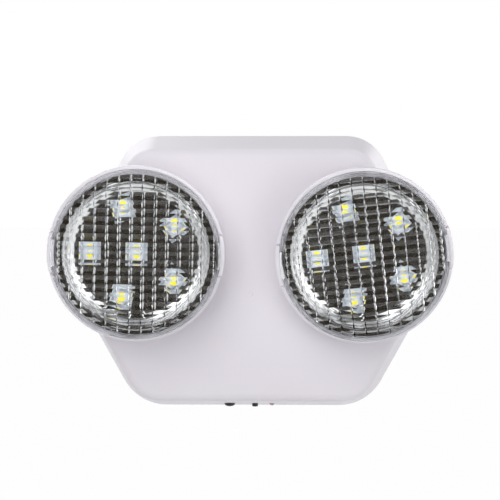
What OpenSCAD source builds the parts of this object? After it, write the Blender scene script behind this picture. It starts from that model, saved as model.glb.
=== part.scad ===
// Twin-head emergency light for a wall: a six-sided housing with a battery and a
// charger board inside, and two round LED heads that turn and tilt on its front.
// The back face lies on the wall, +Z is up and the front faces -Y.

/* [Housing] */
// Height of the housing
housing_h = 162; // [150:1:190]
// Length of the top edge, measured to its unrounded corners
top_edge_w = 142; // [130:1:156]
// Length of the bottom edge, measured to its unrounded corners
bottom_edge_w = 138; // [130:1:156]
// Width across the unrounded side corners
waist_w = 228; // [218:1:250]
// Radius of the two top corners and the two side corners, seen from the front
corner_r = 25; // [22:1:32]
// Radius of the two bottom corners
bottom_corner_r = 29; // [24:1:34]
// Depth of the housing, from the wall to its front face
housing_d = 48; // [44:1:60]
// Thickness of the housing's side walls
wall_t = 2.4; // [1.6:0.1:3.2]
// Thickness of the housing's front face
face_t = 2.6; // [1.8:0.1:3.4]
// Draft angle of the side walls
draft = 10.5; // [6:0.5:12]
// Radius of the rounded front edge
edge_r = 5; // [3.5:0.5:7]

/* [Back plate] */
// Thickness of the back plate
plate_t = 2.6; // [2:0.1:4]
// Gap between the back plate and the housing wall
plate_gap = 0.3; // [0.2:0.05:0.6]
// Distance between the two keyholes
keyhole_spacing = 120; // [112:1:128]
// Radius of the keyhole's round end, which the screw head passes
keyhole_r = 4.5; // [3.5:0.1:5]
// Radius of the keyhole's slot
keyhole_slot_r = 2.25; // [1.75:0.05:3]
// Distance from the round end's centre to the slot's end
keyhole_run = 9; // [7:0.5:12]
// Height of the cable entry over the charger board's lower edge
cable_rise = 35; // [25:1:40]
// Radius of the cable entry's bore
cable_bore_r = 4; // [3:0.25:5]

/* [Swivels] */
// Distance of each pivot inside the housing's leaning upper side edge
pivot_inset = 36.6; // [35:0.05:39]
// Height of the pivots, from the housing's centre
pivot_y = 16.9; // [10:0.1:18]
// Distance of the pivots in front of the housing's face
pivot_rise = 6; // [5.5:0.1:8]
// Radius of the tilting ball
ball_r = 14; // [12:0.25:15]
// Wall thickness of the ball
ball_wall = 3.5; // [2.5:0.1:4.5]
// Wall thickness of the turntable's cup
cup_wall = 4.15; // [3:0.05:5]
// Radius of the turntable's flange
flange_r = 24; // [23:0.25:27]
// Thickness of the turntable's flange
flange_t = 2; // [1.5:0.1:3]
// Radius of the tilt pins
pin_r = 1.5; // [1:0.1:2]
// How far the left head is turned inwards
left_toe_in = 3; // [-5:0.1:10]
// How far the right head is turned inwards
right_toe_in = 0.4; // [-5:0.1:10]
// How far the left head is tilted upwards
left_tip_up = -3.5; // [-8:0.1:8]
// How far the right head is tilted upwards
right_tip_up = -5.1; // [-8:0.1:8]
// Roll of the left head, seen from the front
left_roll = -1.3; // [-10:0.1:10]
// Roll of the right head, seen from the front
right_roll = 6.2; // [-10:0.1:10]

/* [Heads] */
// Radius of a head's rim
head_r = 48.3; // [48:0.1:52]
// Wall thickness of a head's shell
head_wall = 1.7; // [1.4:0.1:2]
// Depth of a head's dish, from its floor to its widest ring
dish_h = 20; // [19:0.5:26]
// Height of a head's straight rim
rim_h = 4.5; // [3.5:0.25:7]
// How far the lens stands out of the rim
lens_stand = 7.5; // [6:0.25:10]
// Thickness of the lens's face
lens_t = 2.5; // [1.8:0.1:3.5]
// Thickness of the lens's skirt
skirt_t = 2.3; // [1.6:0.1:3]
// Radius of the ring of LEDs
led_ring_r = 25.5; // [23:0.1:25.8]
// Side of an LED package
led_side = 5.4; // [4:0.1:7]
// Height of an LED package
led_h = 1.6; // [1:0.1:2]
// Side of a reflector pocket
pocket_side = 12; // [10:0.25:12.5]
// Depth of the reflector pockets
pocket_d = 4.5; // [3.5:0.1:5.5]
// Radius of the reflector's flat floor
pan_r = 33.5; // [32.5:0.1:34.5]
// Radius of the reflector's mouth
mouth_r = 40.6; // [39:0.1:41]

/* [Controls] */
// Place of the power button, right of the centre
power_x = -13; // [-17:0.5:-11]
// Diameter of the power button
power_d = 6.2; // [5:0.1:8]
// Place of the test button, right of the centre
test_x = 2; // [1:0.5:3]
// Diameter of the test button
test_d = 3.5; // [2.5:0.1:4.5]
// Place of the charge indicator, right of the centre
indicator_x = 12; // [10:0.5:16]
// Diameter of the charge indicator
indicator_d = 3; // [2:0.1:5]
// How far the controls stand out of the housing
control_stand = 1.8; // [1.5:0.1:3]

/* [Electrics] */
// Width of the battery
battery_w = 97; // [80:1:104]
// Height of the battery
battery_h = 52; // [44:1:54]
// Thickness of the battery
battery_t = 24; // [20:0.5:26]
// Distance from the battery up to the housing's top
battery_top_gap = 14; // [13:0.5:16]
// Width of the charger board
board_w = 100; // [92:1:104]
// Distance from the housing's bottom up to the charger board
board_bottom_gap = 11; // [10:0.5:12]
// Distance between the charger board and the battery
board_top_gap = 10; // [9:0.5:12]
// Thickness of the charger board
board_t = 1.6; // [1:0.1:2]
// Length of the standoffs under the charger board
standoff_h = 11.4; // [9:0.1:12]

/* [Hidden] */
overrun = 1;        // how far a cut runs past the face it opens
close_fit = 0.05;   // gap round a screw, pin or plug in its hole
slide_fit = 0.35;   // gap round a piece that slides or turns in a hole
seat_gap = 0.1;     // gap between a fixed piece and its seat
round_fn = 64;

// Housing outline: the side edges lean by side_a over the waist and by low_side_a
// under it, and each corner is an arc
side_a = atan2((waist_w - top_edge_w) / 2, housing_h / 2);
low_side_a = atan2((waist_w - bottom_edge_w) / 2, housing_h / 2);
// Centre of an arc of radius r between the top edge and a side edge that leans by a
function corner_centre(r, a) =
    [waist_w / 2 - (r + (housing_h / 2 - r) * sin(a)) / cos(a), housing_h / 2 - r];
corner_x = corner_centre(corner_r, side_a)[0];
corner_y = corner_centre(corner_r, side_a)[1];
bottom_x = corner_centre(bottom_corner_r, low_side_a)[0];
bottom_y = -corner_centre(bottom_corner_r, low_side_a)[1];
waist_k = corner_r / sin(side_a + low_side_a);
waist_x = waist_w / 2 - waist_k * (sin(side_a) + sin(low_side_a));
waist_y = waist_k * (cos(side_a) - cos(low_side_a));
corner_steps = 9;
edge_steps = 6;
// Each corner: centre x, centre y, radius, first angle, last angle
corners = [
    [waist_x, waist_y, corner_r, -low_side_a, side_a],
    [corner_x, corner_y, corner_r, side_a, 90],
    [-corner_x, corner_y, corner_r, 90, 180 - side_a],
    [-waist_x, waist_y, corner_r, 180 - side_a, 180 + low_side_a],
    [-bottom_x, bottom_y, bottom_corner_r, 180 + low_side_a, 270],
    [bottom_x, bottom_y, bottom_corner_r, 270, 360 - low_side_a],
];
function outline(inset) = [
    for (c = corners) for (i = [0:corner_steps])
        let (a = c[3] + (c[4] - c[3]) * i / corner_steps)
            [c[0] + (c[2] - inset) * cos(a), c[1] + (c[2] - inset) * sin(a)]
];
function ring(inset, z) = [for (p = outline(inset)) [p[0], p[1], z]];
// Inset of the outer wall surface at a height over the wall
function wall_inset(z) = z * tan(draft);
inner_inset = wall_t / cos(draft);
inner_edge_r = edge_r - min(wall_t, face_t);
inner_face = housing_d - face_t;

// Screw posts that join the housing and the back plate
post_out = 9.2;
post_in = 1;
post_r = 4;
screw_r = 1.5;
screw_head_r = 2.9;
screw_head_h = 2;
screw_grip = 11;
seat_boss_h = 5;
seat_boss_r = 5;
post_places = [
    for (side = [-1, 1]) each [[side * (bottom_x + post_out), bottom_y - post_in],
                               [side * (corner_x + post_out), corner_y - post_in]]
];

// Swivel heights over the wall, and radii
pivot_x = waist_w / 2 - (pivot_inset + pivot_y * sin(side_a)) / cos(side_a);
pivot_z = housing_d + pivot_rise;
boss_h = 1.2;
boss_top = housing_d + boss_h;
flange_gap = 0.2;
flange_z = boss_top + flange_gap;
socket_r = ball_r + slide_fit;
cup_r = socket_r + cup_wall;
neck_step = 1;
neck_r = cup_r + neck_step;
hole_r = neck_r + slide_fit;
washer_t = 0.6;
nut_t = 3;
nut_rim = 2.3;
nut_r = neck_r + nut_rim;
washer_rim = 1.8;
washer_top = inner_face - seat_gap;
nut_top = washer_top - washer_t - seat_gap;
neck_bottom = nut_top - nut_t;
cup_top_share = 0.26;   // of the ball's radius, over the pivot
ball_cut_share = 0.36;  // of the ball's radius, under the pivot
cup_top = pivot_z + ball_r * cup_top_share;
ball_cut = ball_r * ball_cut_share;
stem_r = 8;
spigot_r = 6;
stem_bore_r = 4;
stem_nut_r = 9.5;
stem_nut_h = 3;
arc_steps = 10;

// Rest pose of the heads. A side is -1 for the left and 1 for the right, from the front
function toe_in(side) = side < 0 ? left_toe_in : right_toe_in;
function tip_up(side) = side < 0 ? left_tip_up : right_tip_up;
function lean(side) = atan(sqrt(pow(tan(toe_in(side)), 2) + pow(tan(tip_up(side)), 2)));
// Direction in which a head leans from its pivot
function lean_turn(side) = atan2(tan(tip_up(side)), -side * tan(toe_in(side)));
function roll(side) = side < 0 ? left_roll : right_roll;

// Head heights along its own axis, measured from the pivot
floor_w = ball_r;
floor_rim = 7;
floor_r = stem_r + floor_rim;
wide_w = floor_w + dish_h;
rim_w = wide_w + rim_h;
ledge_drop = 2.5;
ledge_w = rim_w - ledge_drop;
ledge_t = 1.5;
front_w = rim_w + lens_stand;
lens_gap = 0.3;
lens_r = head_r - head_wall - lens_gap;
skirt_r = lens_r - skirt_t;
lens_edge_r = 2;
rim_flange_t = 1.5;
rim_flange_r = skirt_r - slide_fit;
flange_seat = 1.2;
ledge_r = rim_flange_r - flange_seat;
led_post_h = 7.7;
led_board_w = floor_w + head_wall + led_post_h;
led_board_t = 1.6;
led_board_r = 32;
led_w = led_board_w + led_board_t;
pan_w = led_w + pocket_d;
pan_t = 1.2;
pocket_wall = 0.7;
pocket_gap = 0.4;
led_angles = [for (i = [0:4]) 36 + 72 * i];
led_post_ring_r = 26;
led_post_r = 3;
led_post_angles = [0, 144, 216];
led_screw_r = 1.25;
led_screw_head_r = 2.5;
tongue_w = 22;
tongue_rise = 2.3;
tongue_bulge = 0.1;
tongue_slit = 0.8;
hook_w = 14;
hook_h = 1.8;
hook_reach = 1.9;
hook_play = 0.3;
dish_steps = 14;
// The dish is a quarter of a superellipse, which clears the housing at full tilt
dish_in_exponent = 1.6;
dish_out_exponent = 1.2;
function dish(share, r0, w0, r1, w1) =
    [r0 + (r1 - r0) * share,
     w1 - (w1 - w0) * pow(1 - pow(share, dish_in_exponent), 1 / dish_out_exponent)];

// Battery against the top, charger board against the bottom
battery_y = housing_h / 2 - battery_top_gap - battery_h;
board_y = -housing_h / 2 + board_bottom_gap;
board_h = battery_y - board_top_gap - board_y;
cable_y = board_y + cable_rise;

// Charger board, and what stands on it
board_z = plate_t + standoff_h;
board_top = board_z + board_t;
board_margin = 5;
board_x = board_w / 2 - board_margin;
board_hole_places = [
    for (x = [-board_x, board_x])
        for (y = [board_y + board_margin, board_y + board_h - board_margin]) [x, y]
];
standoff_r = 3.5;
board_screw_len = 8;

// Controls on the lower edge of the charger board
control_rise = 4;
control_z = board_top + control_rise;
control_wall_y = -housing_h / 2 + wall_inset(control_z);
control_tip_y = control_wall_y - control_stand;
power_body = 8.5;
power_body_len = 10;
power_plunger_r = 1.6;
test_body_w = 6;
test_body_len = 4;
switch_overhang = 1;
switch_face_y = board_y - switch_overhang;
cap_len = 6.1;
cap_dome = 1.4;

// Leads
lead_r = 1.2;
lead_sides = 8;
lead_steps = 14;
lead_gap = 1.3;
lead_stub = 1;

// Solids and frames that several pieces use

// From a frame that looks at the wall (x right, y up, z out) to the part's own
module on_wall() rotate([90, 0, 0]) children();

module at_swivel(side, z) translate([side * pivot_x, pivot_y, z]) children();

// Frame of a turntable: x the way the head leans, y along the tilt pins
module on_turntable(side)
    on_wall() at_swivel(side, pivot_z) rotate([0, 0, lean_turn(side)]) children();
// The same frame, tilted with the head: z is the head's own axis
module on_tilt(side) on_turntable(side) rotate([0, lean(side), 0]) children();
// Frame of the head's lamp: x along its two lens clips
module on_head(side) on_tilt(side) rotate([0, 0, roll(side) - lean_turn(side)]) children();

// Closed solid of the housing outline, with drafted sides and a rounded front edge
module tub(inset, bottom, top, r) {
    mid_z = top - r;
    mid_inset = inset + wall_inset(mid_z) + r / cos(draft);
    levels = concat(
        [ring(inset + wall_inset(bottom), bottom)],
        [for (i = [0:edge_steps]) let (a = draft + (90 - draft) * i / edge_steps)
            ring(mid_inset - r * cos(a), mid_z + r * sin(a))]);
    n = len(levels[0]);
    last = len(levels) - 1;
    polyhedron(
        points = [for (level = levels) for (p = level) p],
        faces = concat(
            [[for (i = [0:n - 1]) i]],
            [for (k = [0:last - 1]) for (i = [0:n - 1])
                [k * n + i, (k + 1) * n + i, (k + 1) * n + (i + 1) % n, k * n + (i + 1) % n]],
            [[for (i = [n - 1:-1:0]) last * n + i]]));
}

module block(size, at) translate([at[0] - size[0] / 2, at[1] - size[1] / 2, at[2]]) cube(size);

// Points of a curve with two end points and two handles
function bezier(a, b, c, d) = [
    for (i = [0:lead_steps])
        let (t = i / lead_steps, u = 1 - t)
            u * u * u * a + 3 * u * u * t * b + 3 * u * t * t * c + t * t * t * d
];
function unit(v) = v / norm(v);
// Round tube along points that lie in the plane square to side_way
module tube(points, side_way, r) {
    last = len(points) - 1;
    across = unit(side_way);
    rings = [
        for (i = [0:last])
            let (way = unit(points[min(i + 1, last)] - points[max(i - 1, 0)]),
                 up = cross(way, across))
                for (k = [0:lead_sides - 1])
                    let (a = 360 * k / lead_sides)
                        points[i] + r * (cos(a) * across + sin(a) * up)
    ];
    polyhedron(
        points = rings,
        faces = concat(
            [[for (k = [lead_sides - 1:-1:0]) k]],
            [for (i = [0:last - 1]) for (k = [0:lead_sides - 1])
                let (a = i * lead_sides + k, b = i * lead_sides + (k + 1) % lead_sides)
                    [a, b, b + lead_sides]],
            [for (i = [0:last - 1]) for (k = [0:lead_sides - 1])
                let (a = i * lead_sides + k, b = i * lead_sides + (k + 1) % lead_sides)
                    [a, b + lead_sides, a + lead_sides]],
            [[for (k = [0:lead_sides - 1]) last * lead_sides + k]]));
}

// Housing

module housing() color("whitesmoke") on_wall() difference() {
    union() {
        difference() {
            tub(0, 0, housing_d, edge_r);
            tub(inner_inset, -overrun, inner_face, inner_edge_r);
        }
        for (side = [-1, 1])
            at_swivel(side, inner_face)
                cylinder(r = flange_r, h = boss_top - inner_face, $fn = round_fn);
        for (p = post_places)
            translate([p[0], p[1], seat_boss_h])
                cylinder(r = post_r, h = inner_face + face_t / 2 - seat_boss_h, $fn = round_fn);
    }
    for (side = [-1, 1])
        at_swivel(side, inner_face - overrun)
            cylinder(r = hole_r, h = boss_top - inner_face + 2 * overrun, $fn = round_fn);
    for (p = post_places)
        translate([p[0], p[1], seat_boss_h - overrun])
            cylinder(r = screw_r + close_fit, h = screw_grip + 2 * overrun, $fn = round_fn);
    control_hole(power_x, power_d / 2 + slide_fit);
    control_hole(test_x, test_d / 2 + slide_fit);
    control_hole(indicator_x, indicator_d / 2 + seat_gap);
}
// Frame of a control: z points down, out through the housing's bottom wall
module on_control(x, y) translate([x, y, control_z]) rotate([90, 0, 0]) children();
module control_hole(x, r)
    on_control(x, control_wall_y + 2 * wall_t)
        cylinder(r = r, h = 2 * wall_t + control_stand, $fn = round_fn);

module back_plate() color("gainsboro") on_wall() difference() {
    union() {
        linear_extrude(plate_t)
            polygon(outline(inner_inset + wall_inset(plate_t) + plate_gap));
        for (p = post_places)
            translate([p[0], p[1], plate_t / 2])
                cylinder(r = seat_boss_r, h = seat_boss_h - seat_gap - plate_t / 2, $fn = round_fn);
        for (p = board_hole_places)
            translate([p[0], p[1], plate_t / 2])
                cylinder(r = standoff_r, h = board_z - plate_t / 2, $fn = round_fn);
        battery_cradle();
        for (y = strap_screw_ys)
            translate([0, y, plate_t / 2])
                cylinder(r = strap_boss_r, h = strap_foot_z - plate_t / 2, $fn = round_fn);
    }
    for (p = post_places) {
        translate([p[0], p[1], -overrun])
            cylinder(r = screw_r + slide_fit, h = seat_boss_h + overrun, $fn = round_fn);
        translate([p[0], p[1], -overrun])
            cylinder(r = screw_head_r + slide_fit, h = screw_head_h + 2 * seat_gap + overrun,
                     $fn = round_fn);
    }
    for (p = board_hole_places)
        translate([p[0], p[1], board_z - board_screw_len])
            cylinder(r = screw_r + close_fit, h = board_screw_len + overrun, $fn = round_fn);
    for (y = strap_screw_ys)
        translate([0, y, strap_foot_z - strap_screw_len])
            cylinder(r = screw_r + close_fit, h = strap_screw_len + overrun, $fn = round_fn);
    for (x = [-keyhole_spacing / 2, keyhole_spacing / 2]) {
        translate([x, 0, -overrun])
            cylinder(r = keyhole_r, h = plate_t + 2 * overrun, $fn = round_fn);
        translate([x - keyhole_slot_r, 0, -overrun])
            cube([2 * keyhole_slot_r, keyhole_run - keyhole_slot_r, plate_t + 2 * overrun]);
        translate([x, keyhole_run - keyhole_slot_r, -overrun])
            cylinder(r = keyhole_slot_r, h = plate_t + 2 * overrun, $fn = round_fn);
    }
    translate([0, cable_y, -overrun])
        cylinder(r = grommet_neck_r + close_fit, h = plate_t + 2 * overrun, $fn = round_fn);
    translate([0, cable_y, -overrun])
        cylinder(r = grommet_r + close_fit, h = grommet_lip + overrun, $fn = round_fn);
}

// Screw with a flat round head, pointing along +z from the underside of its head
module screw(shank_r, shank_l, head_r, head_h) {
    slot_share = 0.3;
    slot_w = head_r * slot_share;
    cylinder(r = shank_r, h = shank_l, $fn = round_fn);
    difference() {
        translate([0, 0, -head_h]) cylinder(r = head_r, h = head_h, $fn = round_fn);
        translate([-head_r, -slot_w / 2, -head_h - overrun])
            cube([2 * head_r, slot_w, head_h / 2 + overrun]);
    }
}
module housing_screws() color("silver") on_wall()
    for (p = post_places)
        translate([p[0], p[1], screw_head_h + seat_gap])
            screw(screw_r, seat_boss_h - screw_head_h + screw_grip, screw_head_r, screw_head_h);

// Rubber sleeve in the cable entry, held by a lip on each face of the plate
grommet_wall = 2;
grommet_neck_r = cable_bore_r + grommet_wall;
grommet_r = grommet_neck_r + grommet_wall;
grommet_lip_share = 0.35;
grommet_lip = plate_t * grommet_lip_share;
grommet_front = 1.4;
module cable_grommet() color("dimgray") on_wall() translate([0, cable_y, 0]) difference() {
    union() {
        cylinder(r = grommet_r, h = grommet_lip, $fn = round_fn);
        cylinder(r = grommet_neck_r, h = plate_t + grommet_front, $fn = round_fn);
        translate([0, 0, plate_t]) cylinder(r = grommet_r, h = grommet_front, $fn = round_fn);
    }
    translate([0, 0, -overrun])
        cylinder(r = cable_bore_r, h = plate_t + grommet_front + 2 * overrun, $fn = round_fn);
}

// Battery, its cradle on the back plate and its strap

cradle_leg = 12;
cradle_t = 2;
cradle_h = 12;
battery_gap = 0.3;
strap_w = 14;
strap_t = 1;
strap_foot = 8;
strap_boss_r = 3.4;
strap_boss_h = 6;
strap_foot_z = plate_t + strap_boss_h;
strap_screw_len = 6;
strap_screw_ys = [
    battery_y - battery_gap - strap_t - strap_foot / 2,
    battery_y + battery_h + battery_gap + strap_t + strap_foot / 2,
];
battery_mid_y = battery_y + battery_h / 2;
module battery_cradle() difference() {
    for (sx = [-1, 1]) for (sy = [-1, 1])
        block([cradle_leg, cradle_leg, plate_t + cradle_h],
              [sx * (battery_w / 2 + cradle_t + battery_gap - cradle_leg / 2),
               battery_mid_y + sy * (battery_h / 2 + cradle_t + battery_gap - cradle_leg / 2), 0]);
    block([battery_w + 2 * battery_gap, battery_h + 2 * battery_gap, cradle_h + plate_t],
          [0, battery_mid_y, plate_t]);
}
module battery() color("dimgray") on_wall() {
    lid_t = 3;
    lid_step = 0.8;
    translate([-battery_w / 2, battery_y + lid_t, plate_t])
        cube([battery_w, battery_h - lid_t, battery_t]);
    translate([-battery_w / 2 + lid_step, battery_y, plate_t + lid_step])
        cube([battery_w - 2 * lid_step, lid_t, battery_t - 2 * lid_step]);
}
tab_w = 4.75;
tab_t = 0.8;
tab_len = 6;
tab_share = 0.41;  // of the battery's width, from its middle
tab_x = battery_w * tab_share;
tab_drop = 6;
tab_z = plate_t + battery_t - tab_drop;
module battery_terminals() color("silver") on_wall()
    for (side = [-1, 1])
        translate([side * tab_x - tab_w / 2, battery_y - tab_len, tab_z - tab_t / 2])
            cube([tab_w, tab_len, tab_t]);
module battery_strap() color("lightslategray") on_wall() {
    inner_low = battery_y - battery_gap;
    inner_high = battery_y + battery_h + battery_gap;
    strap_z = plate_t + battery_t + seat_gap;
    difference() {
        union() {
            translate([-strap_w / 2, inner_low - strap_t, strap_z])
                cube([strap_w, inner_high - inner_low + 2 * strap_t, strap_t]);
            for (y = [inner_low - strap_t, inner_high])
                translate([-strap_w / 2, y, strap_foot_z])
                    cube([strap_w, strap_t, strap_z + strap_t - strap_foot_z]);
            for (y = [inner_low - strap_t - strap_foot, inner_high])
                translate([-strap_w / 2, y, strap_foot_z])
                    cube([strap_w, strap_foot + strap_t, strap_t]);
        }
        for (y = strap_screw_ys)
            translate([0, y, strap_foot_z - overrun])
                cylinder(r = screw_r + slide_fit, h = strap_t + 2 * overrun, $fn = round_fn);
    }
}
module strap_screws() color("silver") on_wall()
    for (y = strap_screw_ys)
        translate([0, y, strap_foot_z + strap_t]) rotate([180, 0, 0])
            screw(screw_r, strap_t + strap_screw_len - seat_gap, screw_head_r, screw_head_h);

// Charger board: places on it, from its middle to the right and from its lower edge up
transformer_place = [-22, 28];
capacitor_places = [[24, 12], [24, 25], [24, 36]];
rectifier_place = [9.5, 7];
rectifier_pitch = 4;
rectifier_count = 4;
rectifier_r = 1.6;
relay_size = [15, 16, 14];
relay_gap = 1.4;
relay_rise = (rectifier_count - 1) * rectifier_pitch + rectifier_r + relay_gap + relay_size[1] / 2;
relay_place = rectifier_place + [0, relay_rise];
fuse_place = [-30, 8];
terminal_y = 17;
socket_inset = [6, 17];
battery_pad_inset = 8;
function on_board(place) = [place[0], board_y + place[1], board_top];

module main_board() color("darkgreen") on_wall() difference() {
    translate([-board_w / 2, board_y, board_z]) cube([board_w, board_h, board_t]);
    for (p = board_hole_places)
        translate([p[0], p[1], board_z - overrun])
            cylinder(r = screw_r + slide_fit, h = board_t + 2 * overrun, $fn = round_fn);
}
module board_screws() color("silver") on_wall()
    for (p = board_hole_places)
        translate([p[0], p[1], board_top]) rotate([180, 0, 0])
            screw(screw_r, board_t + board_screw_len - seat_gap, screw_head_r, screw_head_h);

core_size = [36, 16, 26];
core_leg = 12;
core_yoke = 6;
coil_gap = 0.3;
coil_lobe = 6;
core_window = (core_size[0] - core_leg - 2 * core_yoke) / 2;
core_window_h = core_size[2] - 2 * core_yoke;
module transformer_core() color("slategray") on_wall() translate(on_board(transformer_place))
    difference() {
        block(core_size, [0, 0, 0]);
        for (side = [-1, 1])
            block([core_window, core_size[1] + 2 * overrun, core_window_h],
                  [side * (core_leg + core_window) / 2, 0, core_yoke]);
    }
module transformer_coil() color("goldenrod") on_wall() translate(on_board(transformer_place))
    difference() {
        block([core_leg + 2 * core_window - 2 * coil_gap, core_size[1] + 2 * coil_lobe,
               core_window_h - 2 * coil_gap], [0, 0, core_yoke + coil_gap]);
        block([core_leg + 2 * coil_gap, core_size[1] + 2 * coil_gap, core_window_h],
              [0, 0, core_yoke]);
    }
capacitor_sizes = [[5, 16], [5, 16], [4, 12]];
module capacitors() color("midnightblue") on_wall()
    for (i = [0:2])
        translate(on_board(capacitor_places[i]))
            cylinder(r = capacitor_sizes[i][0], h = capacitor_sizes[i][1], $fn = round_fn);
fuse_r = 2.6;
fuse_len = 20;
fuse_clip = 4;
fuse_clip_wall = 1;
fuse_rise = 4;
module fuse() color("lightgray") on_wall() translate(on_board(fuse_place)) {
    translate([-fuse_len / 2, 0, fuse_rise]) rotate([0, 90, 0])
        cylinder(r = fuse_r, h = fuse_len, $fn = round_fn);
    for (side = [-1, 1])
        block([fuse_clip, 2 * fuse_r + fuse_clip_wall, fuse_rise],
              [side * (fuse_len - fuse_clip) / 2, 0, 0]);
}
module relay() color("gold") on_wall() block(relay_size, on_board(relay_place));
rectifier_len = 6;
module rectifiers() color("black") on_wall()
    for (i = [0:rectifier_count - 1])
        translate(on_board(rectifier_place + [-rectifier_len / 2, i * rectifier_pitch])
                  + [0, 0, rectifier_r + seat_gap])
            rotate([0, 90, 0]) cylinder(r = rectifier_r, h = rectifier_len, $fn = round_fn);
terminal_size = [20, 10, 12];
terminal_hole_r = 2;
terminal_hole_d = 6;
terminal_place = [(board_w - terminal_size[0]) / 2, terminal_y];
module terminal_block() color("seagreen") on_wall() translate(on_board(terminal_place))
    difference() {
        block(terminal_size, [0, 0, 0]);
        for (side = [-1, 1])
            translate([side * terminal_size[0] / 4, 0, terminal_size[2] - terminal_hole_d])
                cylinder(r = terminal_hole_r, h = terminal_hole_d + overrun, $fn = round_fn);
    }
socket_size = [8, 6, 6];
function socket_place(side) =
    on_board([side * (board_w / 2 - socket_inset[0]), board_h - socket_inset[1]]);
module lamp_sockets() color("ivory") on_wall()
    for (side = [-1, 1]) block(socket_size, socket_place(side));

// Leads from the battery's tabs to the board
module battery_lead(side) on_wall() {
    from = [side * tab_x, battery_y - tab_len, tab_z];
    to = on_board([side * tab_x, board_h - battery_pad_inset]);
    handle = 6;
    tube(concat([from],
                bezier(from - [0, lead_stub, 0], from - [0, handle, 0],
                       to + [0, 0, handle], to + [0, 0, lead_stub]),
                [to]),
         [1, 0, 0], lead_r);
}
module battery_lead_red() color("red") battery_lead(-1);
module battery_lead_black() color("black") battery_lead(1);

// Lead from a board socket to the pivot of a head
module lamp_lead(side) on_wall() {
    straight = 4;
    handle = 9;
    from = socket_place(side) + [0, 0, socket_size[2]];
    below = [side * pivot_x, pivot_y, neck_bottom - straight];
    top = [side * pivot_x, pivot_y, pivot_z - lead_gap];
    tube(concat([from],
                bezier(from + [0, 0, lead_stub], from + [0, 0, handle],
                       below - [0, 0, handle], below),
                [top]),
         [from[1] - below[1], below[0] - from[0], 0], lead_r);
}
module left_lamp_lead() color("white") lamp_lead(-1);
module right_lamp_lead() color("white") lamp_lead(1);

// Controls on the housing's lower edge

module power_switch() color("dimgray") on_wall() difference() {
    translate([power_x - power_body / 2, switch_face_y, board_top])
        cube([power_body, power_body_len, 2 * control_rise]);
    on_control(power_x, switch_face_y + power_grip + power_travel + overrun)
        cylinder(r = power_plunger_r + slide_fit, h = power_grip + power_travel + 2 * overrun,
                 $fn = round_fn);
}
power_travel = 1.5;
power_grip = 5;
module power_button() color("black") on_wall()
    on_control(power_x, control_tip_y + cap_len) {
        cap_r = power_d / 2;
        dome_steps = 6;
        rotate_extrude($fn = round_fn) polygon(concat(
            [[0, 0], [cap_r, 0]],
            [for (i = [0:dome_steps]) let (a = 90 * i / dome_steps)
                [cap_r * cos(a), cap_len - cap_dome + cap_dome * sin(a)]]));
        translate([0, 0, control_tip_y + cap_len - switch_face_y - power_grip])
            cylinder(r = power_plunger_r,
                     h = switch_face_y + power_grip - control_tip_y - cap_len + overrun,
                     $fn = round_fn);
    }

module test_switch() color("dimgray") on_wall() difference() {
    translate([test_x - test_body_w / 2, switch_face_y, board_top])
        cube([test_body_w, test_body_len, 2 * control_rise]);
    on_control(test_x, switch_face_y + test_grip + test_travel + seat_gap)
        cylinder(r = test_d / 2 + slide_fit, h = test_grip + test_travel + overrun,
                 $fn = round_fn);
}
test_travel = 0.5;
test_grip = 2;
module test_button() color("black") on_wall()
    on_control(test_x, switch_face_y + test_grip) {
        stem_len = switch_face_y + test_grip - control_tip_y;
        round_end = 0.5;
        rotate_extrude($fn = round_fn) polygon([
            [0, 0], [test_d / 2, 0], [test_d / 2, stem_len - round_end],
            [test_d / 2 - round_end, stem_len], [0, stem_len]]);
    }

module indicator_led() color("rosybrown") on_wall() {
    r = indicator_d / 2;
    body_len = 6;
    flange = 1;
    leg_t = 0.5;
    leg_run = 5;
    leg_gap = 1.27;
    tip_back = 0.5;
    back_y = control_tip_y + tip_back + body_len;
    on_control(indicator_x, back_y)
        rotate_extrude($fn = round_fn) polygon(concat(
            [[0, -flange], [r + flange / 2, -flange], [r + flange / 2, 0], [r, 0]],
            [for (i = [0:6]) let (a = 90 * i / 6)
                [r * cos(a), body_len - r + r * sin(a)]]));
    for (side = [-1, 1]) {
        x = indicator_x + side * leg_gap - leg_t / 2;
        translate([x, back_y, control_z - leg_t / 2]) cube([leg_t, leg_run, leg_t]);
        translate([x, back_y + leg_run - leg_t, board_top])
            cube([leg_t, leg_t, control_z + leg_t / 2 - board_top]);
    }
}

// Swivels: a turntable in the housing's face, and the two pins its head tilts on

function arc(r, from, to) = [
    for (i = [0:arc_steps]) let (a = from + (to - from) * i / arc_steps) [r * sin(a), r * cos(a)]
];
module turntable(side) color("whitesmoke") on_turntable(side) difference() {
    rotate_extrude($fn = round_fn) polygon(concat(
        [[socket_r, neck_bottom - pivot_z], [neck_r, neck_bottom - pivot_z],
         [neck_r, flange_z - pivot_z], [flange_r, flange_z - pivot_z],
         [flange_r, flange_z + flange_t / 2 - pivot_z],
         [flange_r - flange_t / 2, flange_z + flange_t - pivot_z],
         [cup_r, flange_z + flange_t - pivot_z], [cup_r, cup_top - pivot_z]],
        arc(socket_r, acos((cup_top - pivot_z) / socket_r), 90)));
    rotate([90, 0, 0])
        cylinder(r = pin_r + close_fit, h = 2 * cup_r + 2 * overrun, center = true, $fn = round_fn);
}
module swivel_nut(side) color("gainsboro") on_turntable(side) difference() {
    translate([0, 0, neck_bottom - pivot_z]) cylinder(r = nut_r, h = nut_t, $fn = round_fn);
    translate([0, 0, neck_bottom - pivot_z - overrun])
        cylinder(r = neck_r + close_fit, h = nut_t + 2 * overrun, $fn = round_fn);
    for (a = [0:90:270])
        rotate([0, 0, a + 45]) translate([nut_r, 0, neck_bottom - pivot_z - overrun])
            cylinder(r = nut_notch_r, h = nut_t + 2 * overrun, $fn = round_fn);
}
nut_notch_r = 1.2;
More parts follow.
